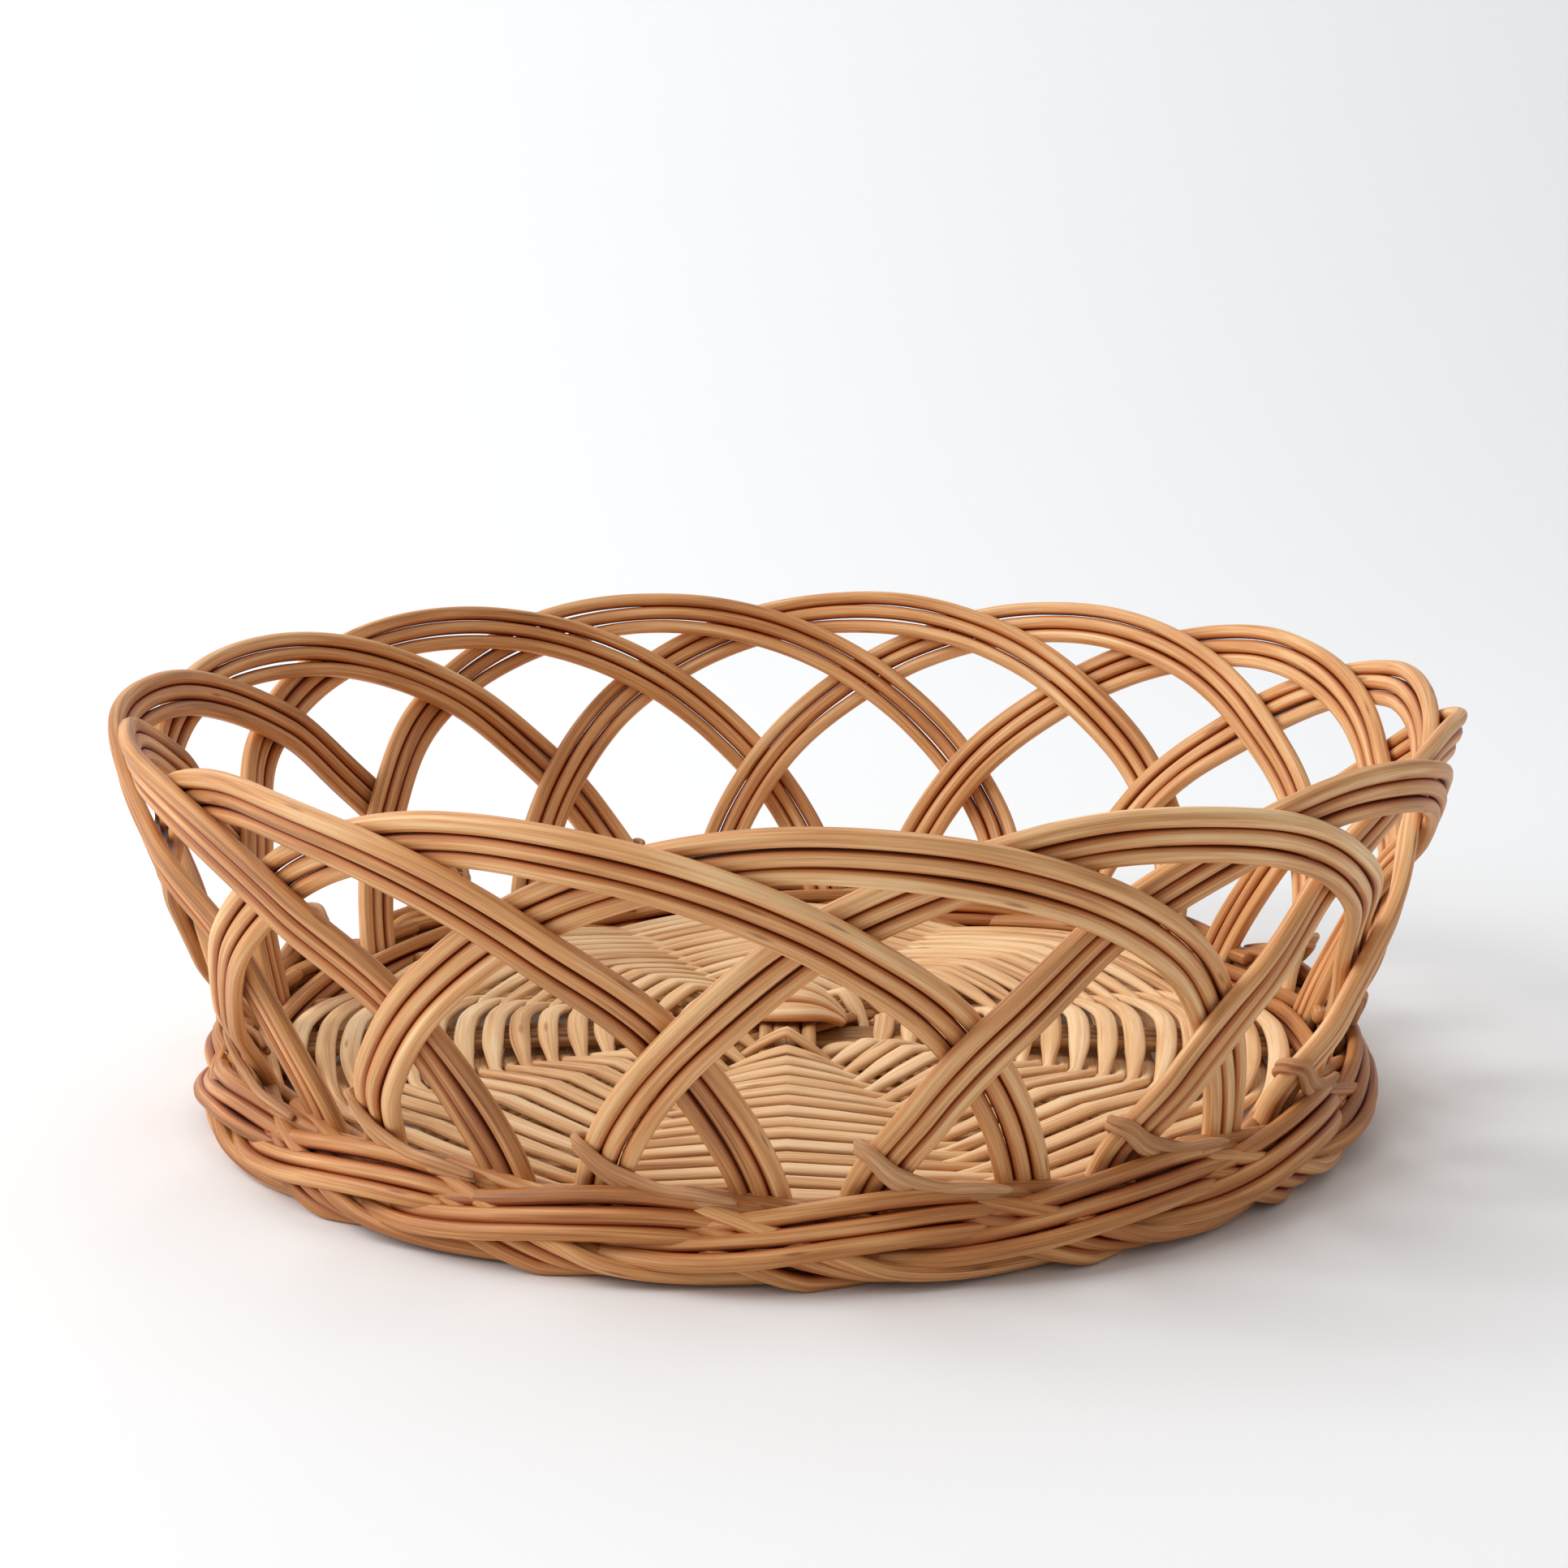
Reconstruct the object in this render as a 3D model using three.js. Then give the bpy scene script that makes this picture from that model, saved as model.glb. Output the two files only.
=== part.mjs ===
// Round open-work basket woven from rattan rods. Millimetres, +Z up, the origin on the table
// under the middle of the basket. Fifteen pointed arches of three rods each form the wall: they
// pass over and under one another, and stand on a roped foot border. A strip collar binds each
// arch's left leg above the border. The floor is a woven disc on four crossed bundles of sticks.
import * as THREE from 'three';

// ---- Driving dimensions -------------------------------------------------------------------
const ARCH_COUNT = 15;
const ROD_DIAMETER = 4.4;
const RODS_PER_BAND = 3;
const CLEARANCE = 0.35;          // left between any two pieces that lie against each other

const RIM_RADIUS = 170;          // wall radius at the crown of an arch, middle of the band
const CROWN_HEIGHT = 102.5;      // height of that point
const WALL_FOOT_RADIUS = 142.5;  // wall radius at the foot line, where the flare starts
const FOOT_LINE = 7;             // height of the foot line, inside the border
const FIRST_ARCH_TURN = 4;       // degrees from the front (-Y) to the first crown
const LEFT_SPREAD = 45.5;        // degrees round the wall from a crown to its left foot
const RIGHT_SPREAD = 42.5;       // and to its right foot
const ARCH_FULLNESS = 1.28;      // 1 is an ellipse, more is a more pointed arch
const WEAVE_DEPTH = 3.0;         // how far a band swings out of and into the wall's middle

const BORDER_RADIUS = 12.4;      // of the whole rope that the foot border makes
const BORDER_STRANDS = 4;        // strands seen in one cut through the rope
const BORDER_FLAT = 1.5;         // worn off the underside, where the basket stands

const COLLAR_WIDTH = 5;
const COLLAR_THICKNESS = 2;
const COLLAR_HEIGHT = 10;        // of its upper end, above the border
const COLLAR_TAIL = 9;           // how far its lower end runs past the leg
const HOOK_GAP = 1.4;            // between the leg's edge and the hook round it

const STICKS_PER_SPOKE = 4;
const STICK_WIDTH = 3.7;
const STICK_THICKNESS = 2.6;
const FLOOR_HEIGHT = 10;         // middle of the floor's weave at its edge
const FLOOR_DOME = 3.5;          // how much higher the middle of the floor is
const WEAVE_START = 34;          // inner radius of the innermost course
const WEAVE_RINGS = 10;
const STRIP_THICKNESS = 2.2;
const BINDING_LENGTH = 22;       // of the strips over the middle, along the top spoke
const BINDING_BEND = 1.5;        // how far they bow up over it

// ---- Sizes that follow from them ----------------------------------------------------------
const PITCH = 2 * Math.PI / ARCH_COUNT;
const BAND_WIDTH = RODS_PER_BAND * ROD_DIAMETER;
const FLARE = (RIM_RADIUS - WALL_FOOT_RADIUS) / (CROWN_HEIGHT - FOOT_LINE);
const BORDER_CENTRE_HEIGHT = BORDER_RADIUS - BORDER_FLAT;
const BORDER_TOP = BORDER_CENTRE_HEIGHT + BORDER_RADIUS;
const BORDER_INSIDE = WALL_FOOT_RADIUS - BORDER_RADIUS;
const SPOKE_WIDTH = STICKS_PER_SPOKE * STICK_WIDTH;
const SPOKE_COUNT = 4;
const SPOKE_TURN = Math.PI / SPOKE_COUNT;
const SPOKE_END_GAP = 1.35;      // from a spoke's end to the rope
const SPOKE_REACH = BORDER_INSIDE - SPOKE_END_GAP;
const SPOKE_LAYER = STICK_THICKNESS + CLEARANCE;

const ARCH_STEPS = 28;
const STEPS_PER_PITCH = 6;
const COLLAR_STEPS = 10;
const SPOKE_STEPS = 16;
const BINDING_STEPS = 8;
const RING_SEGMENTS = 32;        // four to each half spoke, so a course turns at the spokes' edges

const RATTAN = { color: 0xb97b45, roughness: 0.55, metalness: 0 };
const COLLAR_RATTAN = { color: 0xb27442, roughness: 0.6, metalness: 0 };
const BORDER_RATTAN = { color: 0xb57a48, roughness: 0.55, metalness: 0 };
const PALE_RATTAN = { color: 0xdcb07a, roughness: 0.6, metalness: 0 };

const object = new THREE.Group();

function add(name, geometry, finish) {
  const mesh = new THREE.Mesh(geometry, new THREE.MeshStandardMaterial(finish));
  mesh.name = name;
  object.add(mesh);
  return mesh;
}

function numbered(word, index) {
  return `${word}_${String(index + 1).padStart(2, '0')}`;
}

// A route whose section keeps one given direction across it, so that a flat band lies in the
// wall or round the rope and doesn't turn over. Samples fall where the formula puts them.
class BandRoute extends THREE.Curve {
  constructor(place, across) {
    super();
    this.place = place;
    this.across = across;
  }

  getPoint(t) {
    return this.place(t);
  }

  getPointAt(t) {
    return this.place(t);
  }

  computeFrenetFrames(segments) {
    const tangents = [];
    const normals = [];
    const binormals = [];
    for (let i = 0; i <= segments; i += 1) {
      const tangent = this.getTangent(i / segments);
      const normal = this.across(i / segments);
      normal.addScaledVector(tangent, -normal.dot(tangent)).normalize();
      tangents.push(tangent);
      normals.push(normal);
      binormals.push(tangent.clone().cross(normal));
    }
    return { tangents, normals, binormals };
  }
}

function extruded(outline, place, across, steps) {
  const extrudePath = new BandRoute(place, across);
  return new THREE.ExtrudeGeometry(new THREE.Shape(outline), { steps, extrudePath, curveSegments: 1 });
}

// Section of rods side by side: a ridge for each rod, a groove between two
function bandOutline(rods, pitch, thickness) {
  const grooveHeight = 0.45;
  const endInset = 0.2;
  const profile = [];
  for (let i = 0; i < 2 * rods - 1; i += 1) {
    const end = i === 0 || i === 2 * rods - 2;
    const x = (i - rods + 1) * pitch / 2;
    const height = i % 2 ? grooveHeight : 1;
    profile.push(end ? [x + Math.sign(x) * (0.5 - endInset) * pitch, 1 - endInset] : [x, height]);
  }
  const half = thickness / 2;
  const lower = profile.map(([x, h]) => new THREE.Vector2(x, -h * half));
  const upper = profile.map(([x, h]) => new THREE.Vector2(x, h * half)).reverse();
  return [...lower, ...upper];
}

function flatOutline(width, thickness) {
  const edge = thickness / 4;
  const x = width / 2;
  const y = thickness / 2;
  return [[-x, 0], [-x + edge, -y], [x - edge, -y], [x, 0], [x - edge, y], [-x + edge, y]]
    .map(([a, b]) => new THREE.Vector2(a, b));
}

// ---- Wall ---------------------------------------------------------------------------------
// Point of the flared wall at an angle from the front and a height, moved out along its normal
function wallNormal(angle) {
  return new THREE.Vector3(Math.sin(angle), -Math.cos(angle), -FLARE).normalize();
}

function wallUp(angle) {
  return new THREE.Vector3(FLARE * Math.sin(angle), -FLARE * Math.cos(angle), 1).normalize();
}

function wallPoint(angle, height, out) {
  const radius = WALL_FOOT_RADIUS + FLARE * (height - FOOT_LINE);
  const point = new THREE.Vector3(radius * Math.sin(angle), -radius * Math.cos(angle), height);
  return point.addScaledVector(wallNormal(angle), out);
}

// Height where the middle of the wall's thickness stands a given distance off the border's rope
function heightOffBorder(standoff) {
  const reach = BORDER_RADIUS + standoff;
  const slope = 1 + FLARE * FLARE;
  const rise = BORDER_CENTRE_HEIGHT - FOOT_LINE;
  return FOOT_LINE + (rise + Math.sqrt(slope * reach * reach - (FLARE * rise) ** 2)) / slope;
}

// How far round the wall a leg has come from its crown, as the arch drops to a height
function legAngle(spread, height) {
  const drop = ((height - FOOT_LINE) / (CROWN_HEIGHT - FOOT_LINE)) ** (1 / ARCH_FULLNESS);
  return THREE.MathUtils.degToRad(spread) * Math.sqrt(1 - drop * drop);
}

// Right legs lie outside the two left legs that they cross first and inside the third, so the
// band swings from one side of the wall to the other at the crown and between those crossings
function weave(fromCrown) {
  const crownTurn = 0.2 * PITCH;
  const swingStart = 1.1 * PITCH;
  const swingEnd = 1.4 * PITCH;
  const side = Math.tanh(fromCrown / crownTurn);
  const swing = THREE.MathUtils.smoothstep(Math.abs(fromCrown), swingStart, swingEnd);
  return WEAVE_DEPTH * side * (1 - 2 * swing);
}

function crownAngle(index) {
  return THREE.MathUtils.degToRad(FIRST_ARCH_TURN) + index * PITCH;
}

// Runs from the left foot (t = 0) over the crown (t = 0.5) to the right foot (t = 1)
function archPlace(index) {
  const legEnd = heightOffBorder(CLEARANCE + BAND_WIDTH / 4);
  const drop = ((legEnd - FOOT_LINE) / (CROWN_HEIGHT - FOOT_LINE)) ** (1 / ARCH_FULLNESS);
  const seatTurn = Math.acos(drop);
  return (t) => {
    const turn = (2 * t - 1) * seatTurn;
    const spread = THREE.MathUtils.degToRad(turn < 0 ? LEFT_SPREAD : RIGHT_SPREAD);
    const fromCrown = spread * Math.sin(turn);
    const rise = Math.cos(turn) ** ARCH_FULLNESS;
    const height = FOOT_LINE + (CROWN_HEIGHT - FOOT_LINE) * rise;
    return { angle: crownAngle(index) + fromCrown, height, out: weave(fromCrown) };
  };
}

function arch(index) {
  const place = archPlace(index);
  const point = (t) => {
    const { angle, height, out } = place(t);
    return wallPoint(angle, height, out);
  };
  const nearby = 1e-3;
  const across = (t) => {
    const ahead = point(Math.min(1, t + nearby)).sub(point(Math.max(0, t - nearby)));
    return ahead.cross(wallNormal(place(t).angle)).normalize();
  };
  const outline = bandOutline(RODS_PER_BAND, ROD_DIAMETER, ROD_DIAMETER);
  return extruded(outline, point, across, ARCH_STEPS);
}

for (let i = 0; i < ARCH_COUNT; i += 1) {
  add(numbered('arch', i), arch(i), RATTAN);
}

// ---- Collars ------------------------------------------------------------------------------
// A strip that hooks round the left edge of an arch's left leg, crosses its face and runs down
// to the right until it lies on the border
function collar(index) {
  const high = BORDER_TOP + COLLAR_HEIGHT;
  const low = heightOffBorder(CLEARANCE + COLLAR_WIDTH / 2);
  const middle = (high + low) / 2;
  const face = WEAVE_DEPTH + ROD_DIAMETER / 2 + CLEARANCE + COLLAR_THICKNESS / 2;
  const edge = BAND_WIDTH / 2 + COLLAR_THICKNESS / 2 + HOOK_GAP;
  const stations = [
    [-edge, high, -WEAVE_DEPTH / 2],
    [-edge, high, WEAVE_DEPTH / 2],
    [-edge + COLLAR_THICKNESS, high, face],
    [0, middle + COLLAR_WIDTH / 4, face + CLEARANCE],
    [edge, middle - COLLAR_WIDTH / 2, face],
    [edge + COLLAR_TAIL, low, WEAVE_DEPTH],
  ];
  const points = stations.map(([along, height, out]) => {
    const leg = crownAngle(index) - legAngle(LEFT_SPREAD, middle);
    return wallPoint(leg + along / WALL_FOOT_RADIUS, height, out);
  });
  const route = new THREE.CatmullRomCurve3(points, false, 'centripetal');
  const place = (t) => route.getPointAt(t);
  const across = () => wallUp(crownAngle(index) - legAngle(LEFT_SPREAD, middle));
  return extruded(flatOutline(COLLAR_WIDTH, COLLAR_THICKNESS), place, across, COLLAR_STEPS);
}

for (let i = 0; i < ARCH_COUNT; i += 1) {
  add(numbered('collar', i), collar(i), COLLAR_RATTAN);
}

// ---- Foot border --------------------------------------------------------------------------
// Each strand of three rods winds once round the rope's hollow core in four arch spacings. Its
// section is a curved plate, so that four of them close the rope.
function strandOutline() {
  const shareOfTurn = 2 * Math.PI / BORDER_STRANDS;
  const inner = BORDER_RADIUS - ROD_DIAMETER;
  const half = shareOfTurn / 2 - 2 * CLEARANCE / inner;
  const middle = BORDER_RADIUS - ROD_DIAMETER / 2;
  const point = (radius, turn) => (
    new THREE.Vector2(radius * Math.sin(turn), radius * Math.cos(turn) - middle)
  );
  const outerFace = [half, half / 3, -half / 3, -half].map((turn) => point(BORDER_RADIUS, turn));
  return [point(inner, -half), point(inner, half), ...outerFace];
}

function strand(index) {
  const orbit = BORDER_RADIUS - ROD_DIAMETER / 2;
  const endGap = 2 * CLEARANCE / (WALL_FOOT_RADIUS * PITCH);
  const state = (t) => {
    const along = t * (BORDER_STRANDS - endGap);
    const turn = Math.PI + along * 2 * Math.PI / BORDER_STRANDS;
    return { turn, angle: crownAngle(index) + along * PITCH };
  };
  const direction = (angle, radial, up) => (
    new THREE.Vector3(radial * Math.sin(angle), -radial * Math.cos(angle), up)
  );
  const place = (t) => {
    const { turn, angle } = state(t);
    const radius = WALL_FOOT_RADIUS + orbit * Math.cos(turn);
    return direction(angle, radius, BORDER_CENTRE_HEIGHT + orbit * Math.sin(turn));
  };
  const across = (t) => {
    const { turn, angle } = state(t);
    return direction(angle, -Math.sin(turn), Math.cos(turn));
  };
  const geometry = extruded(strandOutline(), place, across, BORDER_STRANDS * STEPS_PER_PITCH);
  const position = geometry.getAttribute('position');
  for (let i = 0; i < position.count; i += 1) {
    position.setZ(i, Math.max(0, position.getZ(i)));
  }
  return geometry;
}

for (let i = 0; i < ARCH_COUNT; i += 1) {
  add(numbered('border_strand', i), strand(i), BORDER_RATTAN);
}

// ---- Floor --------------------------------------------------------------------------------
function floorHeight(radius) {
  return FLOOR_HEIGHT + FLOOR_DOME * (1 - (radius / SPOKE_REACH) ** 2);
}

// The last spoke runs from front to back and lies on top of the others
function spokeAngle(index) {
  return (index + SPOKE_COUNT - 1) * SPOKE_TURN;
}

// The four bundles lie one over another in the middle and come down to one level under the weave
function spoke(index) {
  const angle = spokeAngle(index);
  const layer = (index - (SPOKE_COUNT - 1) / 2) * SPOKE_LAYER;
  const crossingReach = SPOKE_WIDTH / 2 / Math.sin(SPOKE_TURN / 2);
  const place = (t) => {
    const along = (2 * t - 1) * SPOKE_REACH;
    const radius = Math.abs(along);
    const settle = 1 - THREE.MathUtils.smoothstep(radius, crossingReach, WEAVE_START - STICK_WIDTH);
    const height = floorHeight(radius) + layer * settle;
    return new THREE.Vector3(along * Math.cos(angle), along * Math.sin(angle), height);
  };
  const across = () => new THREE.Vector3(-Math.sin(angle), Math.cos(angle), 0);
  return extruded(flatOutline(SPOKE_WIDTH, STICK_THICKNESS), place, across, SPOKE_STEPS);
}

for (let i = 0; i < SPOKE_COUNT; i += 1) {
  add(numbered('spoke_bundle', i), spoke(i), PALE_RATTAN);
}

// Each course passes over one spoke and under the next, and its neighbours do the opposite
function course(index) {
  const outermost = SPOKE_REACH - CLEARANCE;
  const ringPitch = (outermost - WEAVE_START) / WEAVE_RINGS;
  const middle = WEAVE_START + (index + 0.5) * ringPitch;
  const width = ringPitch - 2 * CLEARANCE;
  const swing = (STICK_THICKNESS + STRIP_THICKNESS) / 2 + CLEARANCE;
  const phase = index % 2 ? -1 : 1;
  const geometry = new THREE.TorusGeometry(middle, 1, 4, RING_SEGMENTS);
  const position = geometry.getAttribute('position');
  for (let i = 0; i < position.count; i += 1) {
    const angle = Math.atan2(position.getY(i), position.getX(i));
    const offset = Math.hypot(position.getX(i), position.getY(i)) - middle;
    const lift = position.getZ(i);
    const radius = middle + (offset - lift) * width / 2;
    const wave = THREE.MathUtils.clamp(Math.SQRT2 * Math.cos(SPOKE_COUNT * angle), -1, 1);
    const level = floorHeight(middle) + phase * swing * wave + (offset + lift) * STRIP_THICKNESS / 2;
    position.setXYZ(i, radius * Math.cos(angle), radius * Math.sin(angle), level);
  }
  return geometry;
}

for (let i = 0; i < WEAVE_RINGS; i += 1) {
  add(numbered('floor_course', i), course(i), PALE_RATTAN);
}

// Strips laid side by side over the top spoke bundle, arched from one side of it to the other
function binding() {
  const topLayer = (SPOKE_COUNT - 1) / 2 * SPOKE_LAYER;
  const crest = floorHeight(0) + topLayer + (STICK_THICKNESS + STRIP_THICKNESS) / 2 + 2 * CLEARANCE;
  const reach = SPOKE_WIDTH / 2 + STRIP_THICKNESS;
  const topAngle = spokeAngle(SPOKE_COUNT - 1);
  const along = new THREE.Vector3(Math.cos(topAngle), Math.sin(topAngle), 0);
  const sideways = new THREE.Vector3(-Math.sin(topAngle), Math.cos(topAngle), 0);
  const place = (t) => {
    const offset = (2 * t - 1) * reach;
    const point = sideways.clone().multiplyScalar(offset);
    return point.setZ(crest - BINDING_BEND * Math.cos(2 * Math.PI * t) / 2);
  };
  const outline = bandOutline(RODS_PER_BAND, BINDING_LENGTH / RODS_PER_BAND, STRIP_THICKNESS);
  return extruded(outline, place, () => along.clone(), BINDING_STEPS);
}

add('centre_binding', binding(), PALE_RATTAN);

export default object;
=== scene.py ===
"""Looks of a round open-work rattan basket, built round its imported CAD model."""

import math

import bpy
import numpy as np
from bpy.props import FloatProperty, FloatVectorProperty, IntProperty, PointerProperty
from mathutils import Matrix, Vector


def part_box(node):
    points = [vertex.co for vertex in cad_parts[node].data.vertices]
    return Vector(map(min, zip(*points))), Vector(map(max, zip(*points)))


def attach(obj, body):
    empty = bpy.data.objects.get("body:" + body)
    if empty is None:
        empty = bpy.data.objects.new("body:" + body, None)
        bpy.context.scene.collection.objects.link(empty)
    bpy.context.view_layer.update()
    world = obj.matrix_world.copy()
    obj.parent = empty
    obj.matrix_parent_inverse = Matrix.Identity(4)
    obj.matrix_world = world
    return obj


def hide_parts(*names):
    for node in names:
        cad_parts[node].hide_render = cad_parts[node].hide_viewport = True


bl_info = {
    "name": "Rattan basket",
    "version": (1, 0, 0),
    "blender": (4, 5, 0),
    "location": "3D View > Sidebar > Basket",
    "description": "Builds an open-work basket of rattan rods round its CAD frame",
    "category": "Add Mesh",
}

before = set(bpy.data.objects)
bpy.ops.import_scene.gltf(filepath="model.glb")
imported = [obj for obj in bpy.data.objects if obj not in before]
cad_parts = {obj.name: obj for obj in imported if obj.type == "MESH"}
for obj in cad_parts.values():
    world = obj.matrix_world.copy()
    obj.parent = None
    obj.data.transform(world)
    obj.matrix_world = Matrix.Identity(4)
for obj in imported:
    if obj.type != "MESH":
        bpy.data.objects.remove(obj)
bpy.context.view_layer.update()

MM = 0.001
BODY = "root"


def node_group(word):
    """Names of the CAD nodes that start with a word, in order."""
    return sorted(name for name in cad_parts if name.startswith(word))


def highest_corner(word):
    """Highest x, y and z of all CAD nodes that start with a word, in millimetres."""
    boxes = np.array([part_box(name) for name in node_group(word)])
    return boxes[:, 1].max(0) / MM


# ---- Sizes in millimetres and radians, from the frame where it has them -----------------------
ARCH_COUNT = len(node_group("arch"))
PITCH = 2 * math.pi / ARCH_COUNT
BORDER_HIGH = highest_corner("border_strand")
BORDER_TOP = BORDER_HIGH[2]
ROPE_RADIUS = 12.4
FOOT_RADIUS = BORDER_HIGH[1] - ROPE_RADIUS
ROD = 4.4
RODS_PER_BAND = 3
# From a band's middle line up to its upper edge at a crown.
BAND_RISE = 1.4 * ROD
CROWN_HEIGHT = highest_corner("arch")[2] - BAND_RISE
RIM_RADIUS = 170.0
# The wall flares from the border's radius at the foot line to the rim's radius at the crowns.
FOOT_LINE = 7.0
FLARE = (RIM_RADIUS - FOOT_RADIUS) / (CROWN_HEIGHT - FOOT_LINE)
# Angle of the first crown, and how far round the wall its legs are from it at the foot line.
FIRST_CROWN = math.radians(4.0)
LEFT_SPREAD = math.radians(45.5)
RIGHT_SPREAD = math.radians(42.5)
# Power of the cosine that gives an arch its rise: 1 is half an ellipse, and more is slimmer.
FULLNESS = 1.28
WEAVE_SWING = 2.45
FLOOR_EDGE_HEIGHT = 10.0
FLOOR_DOME = 3.5
SPOKE_REACH = highest_corner("spoke")[0]
STICK_WIDTH = 3.7
STICK_DEPTH = 2.6
STICKS = 4
SPOKES = 4
ARM_GAP = math.pi / SPOKES
# From one spoke up to the next in the middle, where they cross.
LAYER = 2.95
# First random seed of each kind of piece, and the step to the next layer of strands and to the
# next spoke.
SEEDS = {"arch": 100, "collar": 300, "strand": 500, "stick": 700, "row": 800, "binding": 900}
SEEDS_PER_LAYER = 20
SEEDS_PER_SPOKE = 10


# ---- Numbers that several pieces share -------------------------------------------------------
def smoothstep(value, low, high):
    """0 below low, 1 above high and 3s^2 - 2s^3 of the share s between them."""
    share = np.clip((value - low) / (high - low), 0, 1)
    return share * share * (3 - 2 * share)


def unit(vectors):
    """Rows scaled to length 1."""
    return vectors / np.linalg.norm(vectors, axis=-1, keepdims=True)


def vary(rng, spread):
    """A random number between -spread and spread."""
    return rng.uniform(-spread, spread)


def wander(rng, count, waves=4):
    """A smooth random line between about -1 and 1: the sum of sines of 1 to `waves` turns, each
    with a random start and size."""
    along = np.linspace(0, 2 * math.pi, count)
    order = np.arange(1, waves + 1)[:, None]
    phase = rng.uniform(0, 2 * math.pi, (waves, 1))
    size = rng.uniform(0.5, 1, (waves, 1)) / np.sqrt(waves)
    return (size * np.sin(order * along + phase)).sum(0)


def through(stations, count):
    """Columns of a station table carried along a smooth line through every station.
    Between stations 1 and 2 of four, at share s, it is the Catmull-Rom cubic."""
    table = np.asarray(stations, float)
    table = np.vstack([2 * table[0] - table[1], table, 2 * table[-1] - table[-2]])
    spans = len(table) - 3
    place = np.linspace(0, spans, count)
    first = np.minimum(place.astype(int), spans - 1)
    s = (place - first)[:, None]
    p0, p1, p2, p3 = (table[first + k] for k in range(4))
    return 0.5 * (
        2 * p1 + (p2 - p0) * s + (2 * p0 - 5 * p1 + 4 * p2 - p3) * s**2
        + (3 * p1 - p0 - 3 * p2 + p3) * s**3
    )


def ring_point(angle, radius, height):
    """Point at an angle from the front (-Y, turning towards +X), a radius and a height."""
    return np.stack([radius * np.sin(angle), -radius * np.cos(angle), height + 0 * angle], -1)


def ring_direction(angle, outward, upward):
    """Vector with a part away from the basket's axis and a part up."""
    return np.stack([outward * np.sin(angle), -outward * np.cos(angle), upward + 0 * angle], -1)


# ---- Rods ------------------------------------------------------------------------------------
# Thickness of a rod at its cut ends, as a share of its own.
END_TAPER = 0.8
# Each rod's grain starts at a random place within this many millimetres.
GRAIN_FIELD = 900


def neighbour_painted_shade(number):
    """Painted shade weights of a band's rod: 1 on each side where it has a neighbour."""
    return (0 if number == 0 else 1, 0 if number == RODS_PER_BAND - 1 else 1)


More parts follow.
